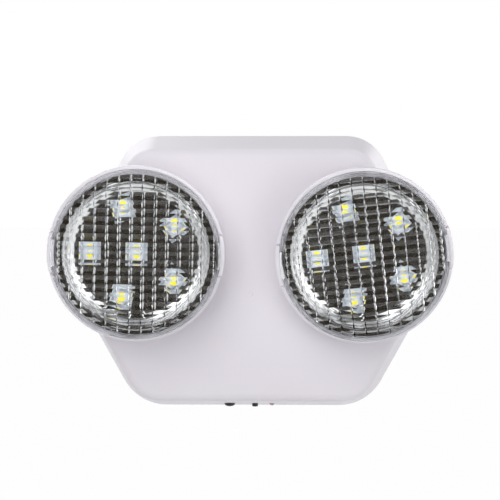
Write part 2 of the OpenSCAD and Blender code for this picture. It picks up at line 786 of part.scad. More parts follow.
module friction_washer(side) color("saddlebrown") on_turntable(side) difference() {
    translate([0, 0, washer_top - washer_t - pivot_z])
        cylinder(r = neck_r + washer_rim, h = washer_t, $fn = round_fn);
    translate([0, 0, washer_top - washer_t - pivot_z - overrun])
        cylinder(r = neck_r + close_fit, h = washer_t + 2 * overrun, $fn = round_fn);
}
module tilt_pins(side) color("silver") on_turntable(side)
    for (a = [90, -90])
        rotate([a, 0, 0]) translate([0, 0, ball_r - ball_wall])
            cylinder(r = pin_r, h = cup_r - ball_r + ball_wall - seat_gap, $fn = round_fn);

// Heads

spigot_end = 0.4;
spigot_top = floor_w + head_wall + stem_nut_h + spigot_end;
module ball_joint(side) color("whitesmoke") on_tilt(side) difference() {
    cavity_r = ball_r - ball_wall;
    rotate_extrude($fn = round_fn) polygon(concat(
        arc(ball_r, acos(-ball_cut / ball_r), asin(stem_r / ball_r)),
        [[stem_r, floor_w], [spigot_r, floor_w], [spigot_r, spigot_top],
         [stem_bore_r, spigot_top]],
        arc(cavity_r, asin(stem_bore_r / cavity_r), acos(-ball_cut / cavity_r))));
    rotate([90, 0, 0])
        cylinder(r = pin_r + close_fit, h = 2 * ball_r + 2 * overrun, center = true, $fn = round_fn);
}
module stem_nut(side) color("silver") on_head(side) difference() {
    translate([0, 0, floor_w + head_wall]) cylinder(r = stem_nut_r, h = stem_nut_h, $fn = 6);
    translate([0, 0, floor_w + head_wall - overrun])
        cylinder(r = spigot_r + close_fit, h = stem_nut_h + 2 * overrun, $fn = round_fn);
}

outer_dish = [for (i = [0:dish_steps]) dish(i / dish_steps, floor_r, floor_w, head_r, wide_w)];
inner_dish = [for (i = [dish_steps:-1:0])
    dish(i / dish_steps, floor_r, floor_w + head_wall, head_r - head_wall, wide_w)];
module head_shell(side) color("whitesmoke") on_head(side) difference() {
    hole_r = spigot_r + close_fit;
    union() {
        rotate_extrude($fn = 2 * round_fn) polygon(concat(
            [[hole_r, floor_w]], outer_dish,
            [[head_r, rim_w], [head_r - head_wall, rim_w], [head_r - head_wall, ledge_w],
             [ledge_r, ledge_w], [ledge_r, ledge_w - ledge_t]],
            inner_dish, [[hole_r, floor_w + head_wall]]));
        intersection() {
            rotate_extrude($fn = 2 * round_fn) polygon(concat(
                [[0, floor_w]], outer_dish, [[0, wide_w]]));
            for (a = led_post_angles)
                rotate([0, 0, a]) translate([led_post_ring_r, 0, floor_w])
                    cylinder(r = led_post_r, h = led_board_w - floor_w, $fn = round_fn);
        }
        for (a = [0, 180]) rotate([0, 0, a]) lens_clip();
    }
    for (a = [0, 180]) for (y = [-tongue_w / 2 - tongue_slit, tongue_w / 2])
        rotate([0, 0, a]) translate([head_r / 2, y, ledge_w + slit_foot])
            cube([head_r, tongue_slit, clip_top]);
    for (a = led_post_angles)
        rotate([0, 0, a]) translate([led_post_ring_r, 0, led_board_w - led_screw_len])
            cylinder(r = led_screw_r + close_fit, h = led_screw_len + overrun, $fn = round_fn);
}
led_screw_len = 4.2;
slit_foot = 0.5;
clip_top = rim_w + tongue_rise;
hook_low = clip_top - hook_h;
clip_r = head_r + tongue_bulge;
// Tongue in the rim, with a hook in the window of the lens's skirt
module lens_clip() {
    module band(points, w) intersection() {
        rotate_extrude($fn = 2 * round_fn) polygon(points);
        translate([head_r / 2, -w / 2, wide_w]) cube([head_r, w, clip_top]);
    }
    band([[head_r - head_wall, wide_w], [head_r, wide_w], [clip_r, wide_w + tongue_bulge],
          [clip_r, clip_top], [head_r - head_wall, clip_top]], tongue_w);
    band([[lens_r - hook_reach, hook_low], [head_r - head_wall / 2, hook_low],
          [head_r - head_wall / 2, clip_top], [lens_r - hook_reach, clip_top]], hook_w);
}

module led_board(side) color("white") on_head(side) difference() {
    translate([0, 0, led_board_w]) cylinder(r = led_board_r, h = led_board_t, $fn = round_fn);
    for (a = led_post_angles)
        rotate([0, 0, a]) translate([led_post_ring_r, 0, led_board_w - overrun])
            cylinder(r = led_screw_r + slide_fit, h = led_board_t + 2 * overrun, $fn = round_fn);
}
// Frames of the LEDs: one in the middle, and a ring around it
module at_leds(w) {
    translate([0, 0, w]) children();
    for (a = led_angles) rotate([0, 0, a]) translate([led_ring_r, 0, w]) children();
}
module leds(side) color("gold") on_head(side)
    at_leds(led_w) block([led_side, led_side, led_h], [0, 0, 0]);
module led_screws(side) color("silver") on_head(side)
    for (a = led_post_angles)
        rotate([0, 0, a]) translate([led_post_ring_r, 0, led_w]) rotate([180, 0, 0])
            screw(led_screw_r, led_board_t + led_screw_len - seat_gap, led_screw_head_r,
                  led_screw_head_r / 2);
module led_lead(side) color("white") on_head(side)
    translate([0, 0, lead_gap]) cylinder(r = lead_r, h = led_board_w - lead_gap, $fn = 32);

flange_top = ledge_w + rim_flange_t;
cone_a = atan2(flange_top - pan_w, mouth_r - pan_r);
cone_back = pan_t / sin(cone_a);
function cone_r(w) = pan_r + (w - pan_w) / tan(cone_a);
module reflector(side) color("lightgray") on_head(side) difference() {
    union() {
        rotate_extrude($fn = 2 * round_fn) polygon([
            [0, pan_w], [pan_r, pan_w], [mouth_r, flange_top], [rim_flange_r, flange_top],
            [rim_flange_r, ledge_w], [cone_r(ledge_w) + cone_back, ledge_w],
            [cone_r(pan_w - pan_t) + cone_back, pan_w - pan_t], [0, pan_w - pan_t]]);
        at_leds(led_w + pocket_gap)
            block([pocket_side + 2 * pocket_wall, pocket_side + 2 * pocket_wall,
                   pocket_d - pocket_gap - pan_t / 2], [0, 0, 0]);
    }
    at_leds(led_w)
        block([pocket_side, pocket_side, pocket_d + overrun], [0, 0, 0]);
}

module lens(side) color("lightcyan", 0.4) on_head(side) difference() {
    rotate_extrude($fn = 2 * round_fn) polygon(concat(
        [[0, front_w - lens_t], [skirt_r, front_w - lens_t], [skirt_r, ledge_w],
         [lens_r, ledge_w]],
        [for (i = [0:edge_steps]) let (a = 90 * i / edge_steps)
            [lens_r - lens_edge_r + lens_edge_r * cos(a),
             front_w - lens_edge_r + lens_edge_r * sin(a)]],
        [[0, front_w]]));
    for (a = [0, 180])
        rotate([0, 0, a])
            translate([skirt_r - overrun, -hook_w / 2 - hook_play, hook_low - hook_play])
                cube([skirt_t + 2 * overrun, hook_w + 2 * hook_play, hook_h + 2 * hook_play]);
}

// One line draws each node
housing();
back_plate();
housing_screws();
cable_grommet();
battery();
battery_terminals();
battery_strap();
strap_screws();
battery_lead_red();
battery_lead_black();
main_board();
board_screws();
transformer_core();
transformer_coil();
capacitors();
fuse();
relay();
rectifiers();
terminal_block();
lamp_sockets();
left_lamp_lead();
right_lamp_lead();
power_switch();
power_button();
test_switch();
test_button();
indicator_led();
turntable(-1);  // left_turntable
swivel_nut(-1);  // left_swivel_nut
friction_washer(-1);  // left_friction_washer
tilt_pins(-1);  // left_tilt_pins
ball_joint(-1);  // left_ball_joint
stem_nut(-1);  // left_stem_nut
head_shell(-1);  // left_head_shell
led_board(-1);  // left_led_board
leds(-1);  // left_leds
led_screws(-1);  // left_led_screws
led_lead(-1);  // left_led_lead
reflector(-1);  // left_reflector
lens(-1);  // left_lens
turntable(1);  // right_turntable
swivel_nut(1);  // right_swivel_nut
friction_washer(1);  // right_friction_washer
tilt_pins(1);  // right_tilt_pins
ball_joint(1);  // right_ball_joint
stem_nut(1);  // right_stem_nut
head_shell(1);  // right_head_shell
led_board(1);  // right_led_board
leds(1);  // right_leds
led_screws(1);  // right_led_screws
led_lead(1);  // right_led_lead
reflector(1);  // right_reflector
lens(1);  // right_lens
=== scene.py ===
import math

import bmesh
import bpy
from mathutils import Matrix, Vector


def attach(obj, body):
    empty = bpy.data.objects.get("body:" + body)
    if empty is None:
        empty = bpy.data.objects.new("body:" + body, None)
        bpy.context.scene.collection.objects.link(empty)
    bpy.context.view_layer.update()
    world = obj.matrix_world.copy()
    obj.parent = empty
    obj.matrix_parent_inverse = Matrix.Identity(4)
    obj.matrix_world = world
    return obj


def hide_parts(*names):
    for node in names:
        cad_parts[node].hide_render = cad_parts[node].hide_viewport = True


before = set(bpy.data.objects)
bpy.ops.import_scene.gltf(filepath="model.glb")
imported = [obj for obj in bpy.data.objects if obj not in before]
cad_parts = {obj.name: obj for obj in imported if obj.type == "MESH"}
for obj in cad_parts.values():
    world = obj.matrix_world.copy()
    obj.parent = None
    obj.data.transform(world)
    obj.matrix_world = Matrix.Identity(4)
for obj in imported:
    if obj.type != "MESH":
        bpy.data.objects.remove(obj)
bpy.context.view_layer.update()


# Housing: a six-sided shell moulded in white ABS, with drafted sides and a rounded
# front edge. Two low bosses carry the turntables, and four posts inside take the screws
# of the back plate. The gate's mark is left in the middle of its front.
HOUSING_H = 162
TOP_EDGE_W = 142
BOTTOM_EDGE_W = 138
WAIST_W = 228
CORNER_R = 25
BOTTOM_CORNER_R = 29
HOUSING_D = 48
WALL_T = 2.4
FACE_T = 2.6
DRAFT = math.radians(10.5)
EDGE_R = 5
CORNER_STEPS = 12
EDGE_STEPS = 9
PIVOT_X = 63.5908
PIVOT_Y = 16.9
SWIVEL_HOLE_R = 19.85
BOSS_R = 24
BOSS_H = 1.2
BOSS_STEPS = 96
POST_PLACES = [(side * x, y) for side in (-1, 1) for x, y in ((61.136, -53), (65.167, 55))]
POST_R = 4
POST_FOOT = 5
POST_HOLE_R = 1.55
POST_HOLE_H = 11
POST_STEPS = 32
POWER_X = -13
TEST_X = 2
INDICATOR_X = 12
CONTROL_Z = 19.6
CONTROL_HOLES = [(POWER_X, 3.45), (TEST_X, 2.1), (INDICATOR_X, 1.6)]
CONTROL_HOLE_REACH = 12
CONTROL_STEPS = 48
CUTTER_SPARE = 5
CUTTER_NIB = 1
GATE_Y = -10.4
GATE_R = 1.3
GATE_DEPTH = 0.3
GATE_STEPS = 32
HOUSING_SOFT_EDGE = 0.25
SOFT_EDGE_STEPS = 2
SOFT_EDGE_FROM = math.radians(40)

SIDE_A = math.atan2((WAIST_W - TOP_EDGE_W) / 2, HOUSING_H / 2)
LOW_SIDE_A = math.atan2((WAIST_W - BOTTOM_EDGE_W) / 2, HOUSING_H / 2)
INNER_INSET = WALL_T / math.cos(DRAFT)
INNER_FACE = HOUSING_D - FACE_T
INNER_EDGE_R = EDGE_R - WALL_T
SIDES = {"left": -1, "right": 1}

# Lengths are in millimetres, in a frame that looks at the wall: x right, y up, z out.
# WALL takes them to the part's own frame in metres, which is PART.
WALL = Matrix.Scale(0.001, 4) @ Matrix.Rotation(math.radians(90), 4, "X")
PART = Matrix.Identity(4)


def corner_centre(radius, lean):
    """Centre of an arc of this radius, tangent to the top edge and a side that leans so."""
    y = HOUSING_H / 2 - radius
    return WAIST_W / 2 - (radius + y * math.sin(lean)) / math.cos(lean), y


def tub(bm, inset, depth, edge_r):
    """Drafted shell of the housing's outline, open at the wall, with a rounded front edge."""
    top_x, top_y = corner_centre(CORNER_R, SIDE_A)
    low_x, low_y = corner_centre(BOTTOM_CORNER_R, LOW_SIDE_A)
    bend = CORNER_R / math.sin(SIDE_A + LOW_SIDE_A)
    waist_x = WAIST_W / 2 - bend * (math.sin(SIDE_A) + math.sin(LOW_SIDE_A))
    waist_y = bend * (math.cos(SIDE_A) - math.cos(LOW_SIDE_A))
    quarter, half = math.pi / 2, math.pi
    corners = [
        (waist_x, waist_y, CORNER_R, -LOW_SIDE_A, SIDE_A),
        (top_x, top_y, CORNER_R, SIDE_A, quarter),
        (-top_x, top_y, CORNER_R, quarter, half - SIDE_A),
        (-waist_x, waist_y, CORNER_R, half - SIDE_A, half + LOW_SIDE_A),
        (-low_x, -low_y, BOTTOM_CORNER_R, half + LOW_SIDE_A, 3 * quarter),
        (low_x, -low_y, BOTTOM_CORNER_R, 3 * quarter, 2 * half - LOW_SIDE_A),
    ]
    arcs = []
    for x, y, radius, first, last in corners:
        reach = radius - inset
        start = bm.verts.new((x + reach * math.cos(first), y + reach * math.sin(first), 0))
        spun = bmesh.ops.spin(bm, geom=[start], cent=(x, y, 0), axis=(0, 0, 1),
                              angle=last - first, steps=CORNER_STEPS)
        arcs.append((start, spun["geom_last"][0]))
    for (_, last), (start, _) in zip(arcs, arcs[1:] + arcs[:1]):
        bm.edges.new((last, start))
    face = bmesh.ops.contextual_create(bm, geom=bm.edges[:])["faces"][0]
    if face.normal.z < 0:
        face.normal_flip()
    mid_z = depth - edge_r
    mid_inset = mid_z * math.tan(DRAFT) + edge_r / math.cos(DRAFT)
    levels = [(0, 0)]
    for i in range(EDGE_STEPS + 1):
        a = DRAFT + (math.pi / 2 - DRAFT) * i / EDGE_STEPS
        levels.append((mid_inset - edge_r * math.cos(a), mid_z + edge_r * math.sin(a)))
    for (inset_a, z_a), (inset_b, z_b) in zip(levels, levels[1:]):
        bmesh.ops.inset_region(bm, faces=[face], thickness=inset_b - inset_a,
                               depth=z_b - z_a, use_even_offset=True, use_boundary=True)


def rod(bm, radius, low, high, at, steps, tip=None):
    """Capped cylinder, or a cone with the tip radius, along z of the frame at."""
    bmesh.ops.create_cone(bm, cap_ends=True, segments=steps, radius1=radius,
                          radius2=radius if tip is None else tip, depth=high - low,
                          matrix=at @ Matrix.Translation((0, 0, (low + high) / 2)))


def downward(x, y):
    """Frame of a control: z points down through the housing's lower edge."""
    return Matrix.Translation((x, y, CONTROL_Z)) @ Matrix.Rotation(math.pi / 2, 4, "X")


def carve(bm, tool, operation):
    """The solid bm after a cut by the solid tool, or joined with it."""
    objects = []
    for shape in (bm, tool):
        bmesh.ops.recalc_face_normals(shape, faces=shape.faces[:])
        mesh = bpy.data.meshes.new("working")
        shape.to_mesh(mesh)
        shape.free()
        objects.append(bpy.data.objects.new("working", mesh))
        bpy.context.scene.collection.objects.link(objects[-1])
    cut = objects[0].modifiers.new("cut", "BOOLEAN")
    cut.object, cut.operation, cut.solver = objects[1], operation, "EXACT"
    shaped = objects[0].evaluated_get(bpy.context.evaluated_depsgraph_get())
    result = bmesh.new()
    result.from_mesh(shaped.to_mesh())
    shaped.to_mesh_clear()
    for o in objects:
        mesh = o.data
        bpy.data.objects.remove(o)
        bpy.data.meshes.remove(mesh)
    return result


def add_piece(name, bm, body, materials, replaces, place=WALL, smooth=20, soft_edge=0):
    """Makes the piece of the mesh: placed, shaded, painted, and riding on its body."""
    bm.transform(place)
    mesh = bpy.data.meshes.new(name)
    bm.to_mesh(mesh)
    bm.free()
    if "custom_normal" in mesh.attributes:
        mesh.attributes.remove(mesh.attributes["custom_normal"])
    mesh.shade_smooth()
    mesh.set_sharp_from_angle(angle=math.radians(smooth))
    for material in materials:
        mesh.materials.append(material)
    piece = bpy.data.objects.new(name, mesh)
    bpy.context.scene.collection.objects.link(piece)
    if soft_edge:
        bevel = piece.modifiers.new("soft edges", "BEVEL")
        bevel.width, bevel.segments = soft_edge / 1000, SOFT_EDGE_STEPS
        bevel.limit_method, bevel.angle_limit = "ANGLE", SOFT_EDGE_FROM
        weigh = piece.modifiers.new("even shading", "WEIGHTED_NORMAL")
        weigh.keep_sharp = True
    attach(piece, body)
    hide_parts(replaces)


def add_node(tree, kind, inputs=None, **settings):
    """Shader node with these settings. An input takes a value or the socket linked to it."""
    node = tree.nodes.new("ShaderNode" + kind)
    for setting, value in settings.items():
        setattr(node, setting, value)
    for socket, value in (inputs or {}).items():
        if isinstance(value, bpy.types.NodeSocket):
            tree.links.new(value, node.inputs[socket])
        else:
            node.inputs[socket].default_value = value
    return node


SURFACE_OUTPUTS = {"Base Color": "Color", "Roughness": "Float", "Normal": "Vector"}


def new_surface(name, inputs):
    """Node group of a surface with these inputs, each (name, kind, default)."""
    group = bpy.data.node_groups.new(name, "ShaderNodeTree")
    for socket, kind, default in inputs:
        made = group.interface.new_socket(socket, in_out="INPUT",
                                          socket_type="NodeSocket" + kind)
        made.default_value = default
    for socket, kind in SURFACE_OUTPUTS.items():
        group.interface.new_socket(socket, in_out="OUTPUT", socket_type="NodeSocket" + kind)
    coords = add_node(group, "TexCoord").outputs["Object"]
    return group, group.nodes.new("NodeGroupInput").outputs, coords


def finish_surface(group, colour, gloss, unevenness, mask, relief, depth):
    """Puts out the colour, the roughness made uneven by the mask, and the fine relief."""
    uneven = add_node(group, "Math", {0: mask, 1: unevenness, 2: gloss},
                      operation="MULTIPLY_ADD")
    bump = add_node(group, "Bump", {"Height": relief, "Distance": depth})
    out = group.nodes.new("NodeGroupOutput").inputs
    group.links.new(colour, out["Base Color"])
    group.links.new(uneven.outputs[0], out["Roughness"])
    group.links.new(bump.outputs["Normal"], out["Normal"])
    return group


def moulded_surface():
    """Moulded plastic: fine spark grain, slow flow marks in the tone, uneven gloss."""
    group, given, coords = new_surface(
        "moulded_surface",
        [("Colour", "Color", (0.8, 0.8, 0.8, 1)), ("Tone", "Float", 0.03),
         ("Gloss", "Float", 0.4), ("Grain per metre", "Float", 2500.0),
         ("Grain depth", "Float", 0.00001)])
    flow = add_node(group, "TexNoise", {"Vector": coords, "Scale": 14, "Detail": 3})
    darkest = add_node(group, "Math", {0: 1, 1: given["Tone"]}, operation="SUBTRACT")
    tone = add_node(group, "MapRange",
                    {"Value": flow.outputs["Fac"], "From Min": 0.25, "From Max": 0.75,
                     "To Min": darkest.outputs[0], "To Max": 1})
    shade = add_node(group, "Mix",
                     {"Factor": 1, "A": given["Colour"], "B": tone.outputs["Result"]},
                     data_type="RGBA", blend_type="MULTIPLY")
    grain = add_node(group, "TexNoise", {"Vector": coords, "Scale": given["Grain per metre"],
                                         "Detail": 2}).outputs["Fac"]
    return finish_surface(group, shade.outputs["Result"], given["Gloss"],
                          unevenness=0.16, mask=grain, relief=grain, depth=given["Grain depth"])


MOULDED = moulded_surface()


def material_of(name, surface, settings, **sockets):
    """Principled material with the colour, roughness and normal of a surface group."""
    material = bpy.data.materials.new(name)
    material.use_nodes = True
    nodes, links = material.node_tree.nodes, material.node_tree.links
    shader = nodes["Principled BSDF"]
    source = nodes.new("ShaderNodeGroup")
    source.node_tree = surface
    for socket, value in settings.items():
        source.inputs[socket].default_value = value
    for socket in SURFACE_OUTPUTS:
        links.new(source.outputs[socket], shader.inputs[socket])
    for socket, value in sockets.items():
        shader.inputs[socket.replace("_", " ")].default_value = value
    return material


def moulded(name, colour, gloss, grain=2500, depth=0.00001, tone=0.03, **sockets):
    """Moulded plastic or rubber of this colour. Its gloss is the lowest roughness it has."""
    return material_of(name, MOULDED, {"Colour": (*colour, 1), "Gloss": gloss, "Tone": tone,
                                       "Grain per metre": grain, "Grain depth": depth},
                       **sockets)


WHITE_ABS = moulded("white_abs", (0.79, 0.76, 0.805), gloss=0.34, IOR=1.5)

housing = bmesh.new()
tub(housing, 0, HOUSING_D, EDGE_R)
inside = bmesh.new()
tub(inside, INNER_INSET, INNER_FACE, INNER_EDGE_R)
bmesh.ops.reverse_faces(inside, faces=inside.faces[:])
inside_mesh = bpy.data.meshes.new("inside")
inside.to_mesh(inside_mesh)
inside.free()
housing.from_mesh(inside_mesh)
bpy.data.meshes.remove(inside_mesh)
bmesh.ops.bridge_loops(housing, edges=[e for e in housing.edges if e.is_boundary])
raised, cut, gate = bmesh.new(), bmesh.new(), bmesh.new()
for side in SIDES.values():
    axis = Matrix.Translation((side * PIVOT_X, PIVOT_Y, 0))
    rod(raised, BOSS_R, INNER_FACE + FACE_T / 2, HOUSING_D + BOSS_H, axis, BOSS_STEPS)
    rod(cut, SWIVEL_HOLE_R, INNER_FACE - CUTTER_SPARE, HOUSING_D + CUTTER_SPARE, axis,
        BOSS_STEPS)
for x, y in POST_PLACES:
    axis = Matrix.Translation((x, y, 0))
    rod(raised, POST_R, POST_FOOT, INNER_FACE + FACE_T / 2, axis, POST_STEPS)
    rod(cut, POST_HOLE_R, POST_FOOT - CUTTER_NIB, POST_FOOT + POST_HOLE_H, axis, POST_STEPS)
for x, radius in CONTROL_HOLES:
    rod(cut, radius, -CONTROL_HOLE_REACH, CUTTER_SPARE, downward(x, -HOUSING_H / 2),
        CONTROL_STEPS)
rod(gate, GATE_R, HOUSING_D - GATE_DEPTH, HOUSING_D + CUTTER_NIB,
    Matrix.Translation((0, GATE_Y, 0)), GATE_STEPS)
housing = carve(housing, raised, "UNION")
housing = carve(housing, cut, "DIFFERENCE")
housing = carve(housing, gate, "DIFFERENCE")
add_piece("housing_shell", housing, "root", [WHITE_ABS], "housing",
          soft_edge=HOUSING_SOFT_EDGE)


# Back plate: a flat ABS moulding inside the housing's rim, with keyholes for the wall
# screws, the cradle of the battery and the standoffs of the charger board. Four screws
# hold it from behind, and a rubber sleeve lines its cable entry.
FLAT_WITHIN = math.radians(0.5)
SHARP_FROM = math.radians(25)
COPY_WELD = 1e-6


def merged_copy(node, soft_edge):
    """Mesh of a CAD node, joined up, with its flat faces whole and its edges eased."""
    bm = bmesh.new()
    bm.from_mesh(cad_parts[node].data)
    bmesh.ops.remove_doubles(bm, verts=bm.verts[:], dist=COPY_WELD)
    bmesh.ops.dissolve_limit(bm, angle_limit=FLAT_WITHIN, verts=bm.verts[:],
                             edges=bm.edges[:])
    sharp = [e for e in bm.edges if e.calc_face_angle(0) > SHARP_FROM]
    bmesh.ops.bevel(bm, geom=sharp, offset=soft_edge / 1000, segments=SOFT_EDGE_STEPS,
                    profile=0.5, affect="EDGES", clamp_overlap=True, material=-1)
    return bm


PLATE_ABS = moulded("plate_abs", (0.75, 0.73, 0.765), gloss=0.5, grain=1600, depth=0.00002)
RUBBER = moulded("grommet_rubber", (0.035, 0.035, 0.036), gloss=0.6, grain=1200,
                 depth=0.00002)

add_piece("back_plate_shell", merged_copy("back_plate", soft_edge=0.2), "root",
          [PLATE_ABS], "back_plate", PART)
add_piece("cable_sleeve", merged_copy("cable_grommet", soft_edge=0.25), "root",
          [RUBBER], "cable_grommet", PART)


def plated_surface():
    """Zinc-plated steel: a faint lay of the tool and cloudy brightness."""
    group, given, coords = new_surface(
        "plated_surface",
        [("Colour", "Color", (0.7, 0.7, 0.71, 1)), ("Gloss", "Float", 0.25)])
    stretch = add_node(group, "Mapping", {"Vector": coords, "Scale": (1, 12, 1)})
    lay = add_node(group, "TexNoise", {"Vector": stretch.outputs["Vector"], "Scale": 900})
    cloud = add_node(group, "TexNoise", {"Vector": coords, "Scale": 260}).outputs["Fac"]
    shade = add_node(group, "Mix", {"Factor": 0.25, "A": given["Colour"], "B": cloud},
                     data_type="RGBA", blend_type="MULTIPLY")
    return finish_surface(group, shade.outputs["Result"], given["Gloss"], unevenness=0.25,
                          mask=cloud, relief=lay.outputs["Fac"], depth=0.000004)


PLATED = plated_surface()
BRIGHT_STEEL = material_of("bright_steel", PLATED, {"Colour": (0.72, 0.72, 0.73, 1)},
                           Metallic=1)
add_piece("back_screws", merged_copy("housing_screws", soft_edge=0.15), "root",
          [BRIGHT_STEEL], "housing_screws", PART)


# Battery: a sealed block in a dark case with two tabs, strapped to the back plate. Its
# red and black leads run down to the charger board.
BATTERY_CASE = moulded("battery_case", (0.03, 0.031, 0.034), gloss=0.42, grain=1500)
STRAP_STEEL = material_of("strap_steel", PLATED,
                          {"Colour": (0.6, 0.61, 0.63, 1), "Gloss": 0.35}, Metallic=1)
RED_LEAD = moulded("red_lead", (0.5, 0.012, 0.01), gloss=0.35)
BLACK_LEAD = moulded("black_lead", (0.012, 0.012, 0.013), gloss=0.35)


def paint(material, *names):
    """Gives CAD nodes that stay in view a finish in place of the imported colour."""
    for name in names:
        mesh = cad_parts[name].data
        mesh.materials.clear()
        mesh.materials.append(material)


paint(BATTERY_CASE, "battery")
paint(BRIGHT_STEEL, "battery_terminals", "strap_screws")
paint(STRAP_STEEL, "battery_strap")
paint(RED_LEAD, "battery_lead_red")
paint(BLACK_LEAD, "battery_lead_black")


# Charger board: a green board on four standoffs with the transformer, relay, capacitors,
# fuse, diodes, mains terminals, lamp sockets and both switches soldered to it. A white
# lead runs from each lamp socket to its head.
def banded_surface():
    """Layers seen on edge, such as laminations, wound tape or tracks: bands of tone."""
    group, given, coords = new_surface(
        "banded_surface",
        [("Colour", "Color", (0.5, 0.5, 0.5, 1)),
         ("Second colour", "Color", (0.3, 0.3, 0.3, 1)), ("Bands per metre", "Float", 300.0),
         ("Waviness", "Float", 1.0), ("Gloss", "Float", 0.4), ("Band depth", "Float", 0.00003)])
    bands = add_node(group, "TexWave",
                     {"Vector": coords, "Scale": given["Bands per metre"],
                      "Distortion": given["Waviness"], "Detail": 1},
                     bands_direction="Z").outputs["Fac"]
    shade = add_node(group, "Mix", {"Factor": bands, "A": given["Colour"],
                                    "B": given["Second colour"]}, data_type="RGBA")
    return finish_surface(group, shade.outputs["Result"], given["Gloss"],
                          unevenness=0.1, mask=bands, relief=bands, depth=given["Band depth"])


BANDED = banded_surface()


def banded(name, colour, second, bands, gloss, waviness=0.0, **sockets):
    """Layered material with this many bands per metre, in two colours."""
    return material_of(name, BANDED, {"Colour": (*colour, 1), "Second colour": (*second, 1),
                                      "Bands per metre": bands, "Gloss": gloss,
                                      "Waviness": waviness}, **sockets)


GREEN_BOARD = banded("green_board", (0.02, 0.16, 0.06), (0.03, 0.24, 0.09), bands=60,
                     gloss=0.25, waviness=6)
CORE_STEEL = banded("core_steel", (0.2, 0.21, 0.23), (0.12, 0.12, 0.13), bands=320,
                    gloss=0.4, Metallic=0.8)
COIL_TAPE = banded("coil_tape", (0.62, 0.44, 0.08), (0.5, 0.34, 0.05), bands=120,
                   gloss=0.3, waviness=0.4)
CAPACITOR_SLEEVE = banded("capacitor_sleeve", (0.02, 0.025, 0.08), (0.03, 0.035, 0.11),
                          bands=40, gloss=0.25)
FUSE_GLASS = moulded("fuse_glass", (0.8, 0.83, 0.85), gloss=0.05, Transmission_Weight=0.8)
SWITCH_CASE = moulded("switch_case", (0.03, 0.03, 0.031), gloss=0.45)
WHITE_LEAD = moulded("white_lead", (0.78, 0.78, 0.75), gloss=0.35)

paint(GREEN_BOARD, "main_board")
paint(CORE_STEEL, "transformer_core")
paint(COIL_TAPE, "transformer_coil")
paint(CAPACITOR_SLEEVE, "capacitors")
paint(FUSE_GLASS, "fuse")
paint(moulded("relay_case", (0.7, 0.42, 0.05), gloss=0.3), "relay")
paint(moulded("diode_case", (0.015, 0.015, 0.016), gloss=0.45), "rectifiers")
paint(moulded("terminal_green", (0.04, 0.22, 0.08), gloss=0.4), "terminal_block")
paint(moulded("socket_nylon", (0.75, 0.72, 0.62), gloss=0.45), "lamp_sockets")
paint(SWITCH_CASE, "power_switch", "test_switch")
paint(BRIGHT_STEEL, "board_screws")
paint(WHITE_LEAD, "left_lamp_lead", "right_lamp_lead")


# Push buttons: black moulded caps that stand out of the housing's lower edge, a domed
# one for the power switch and a thin one for the test switch.
CONTROL_TIP_Y = -79.1674
CAP_R = 3.1
CAP_LEN = 6.1
CAP_DOME = 1.4
CAP_ROUND = 0.3
STEM_TOP_Y = -66
STEM_R = 1.6
TEST_R = 1.75
TEST_BACK_Y = -69
TEST_ROUND = 0.5
TURNED_STEPS = 64
TURNED_WELD = 0.0001
BLACK_CAP = moulded("black_cap", (0.012, 0.012, 0.013), gloss=0.28, depth=0.000004)


def arc_points(centre, radius, first, last, steps, rise=None):
    """Points of an arc from angle first to last in degrees, or of an ellipse that rises so."""
    rise = radius if rise is None else rise
    turn = [math.radians(first + (last - first) * i / steps) for i in range(steps + 1)]
    return [(centre[0] + radius * math.cos(a), centre[1] + rise * math.sin(a)) for a in turn]


def lathe(profile, steps=TURNED_STEPS):
    """Mesh of a turned piece about z, its poles and its seam closed."""
    bm = bmesh.new()
    verts = [bm.verts.new((r, 0, z)) for r, z in profile]
    edges = [bm.edges.new(pair) for pair in zip(verts, verts[1:])]
    bmesh.ops.spin(bm, geom=verts + edges, cent=(0, 0, 0), axis=(0, 0, 1),
                   angle=2 * math.pi, steps=steps, use_merge=True)
    bmesh.ops.remove_doubles(bm, verts=bm.verts[:], dist=TURNED_WELD)
    bmesh.ops.recalc_face_normals(bm, faces=bm.faces[:])
    return bm


power_base = CONTROL_TIP_Y + CAP_LEN
stem_end = power_base - STEM_TOP_Y
power_cap = lathe(
    [(0, stem_end), (STEM_R, stem_end), (STEM_R, 0)]
    + arc_points((CAP_R - CAP_ROUND, CAP_ROUND), CAP_ROUND, -90, 0, steps=3)
    + arc_points((0, CAP_LEN - CAP_DOME), CAP_R, 0, 90, steps=9, rise=CAP_DOME))
add_piece("power_cap", power_cap, "power_button", [BLACK_CAP], "power_button",
          WALL @ downward(POWER_X, power_base))
test_len = TEST_BACK_Y - CONTROL_TIP_Y
test_cap = lathe(
    [(0, 0), (TEST_R, 0)]
    + arc_points((TEST_R - TEST_ROUND, test_len - TEST_ROUND), TEST_ROUND, 0, 90, steps=5)
    + [(0, test_len)], CONTROL_STEPS)
add_piece("test_cap", test_cap, "test_button", [BLACK_CAP], "test_button",
          WALL @ downward(TEST_X, TEST_BACK_Y))


# Charge indicator: a 3 mm LED in diffused pinkish grey epoxy on two tinned legs, which
# looks out between the buttons and the housing's corner.
INDICATOR_R = 1.5
INDICATOR_LEN = 6
INDICATOR_SHY = 0.5
INDICATOR_BACK_Y = CONTROL_TIP_Y + INDICATOR_SHY + INDICATOR_LEN
INDICATOR_FLANGE = 1
INDICATOR_FLANGE_R = 2
LEG_T = 0.5
LEG_GAP = 1.27
LEG_RUN = 5
BOARD_TOP = 15.6
EPOXY = moulded("indicator_epoxy", (0.52, 0.40, 0.42), gloss=0.12, depth=0.000002,
                Transmission_Weight=0.25, Subsurface_Weight=0.2, IOR=1.53)
TINNED = material_of("tinned_leg", PLATED, {"Colour": (0.75, 0.75, 0.74, 1)}, Metallic=1)


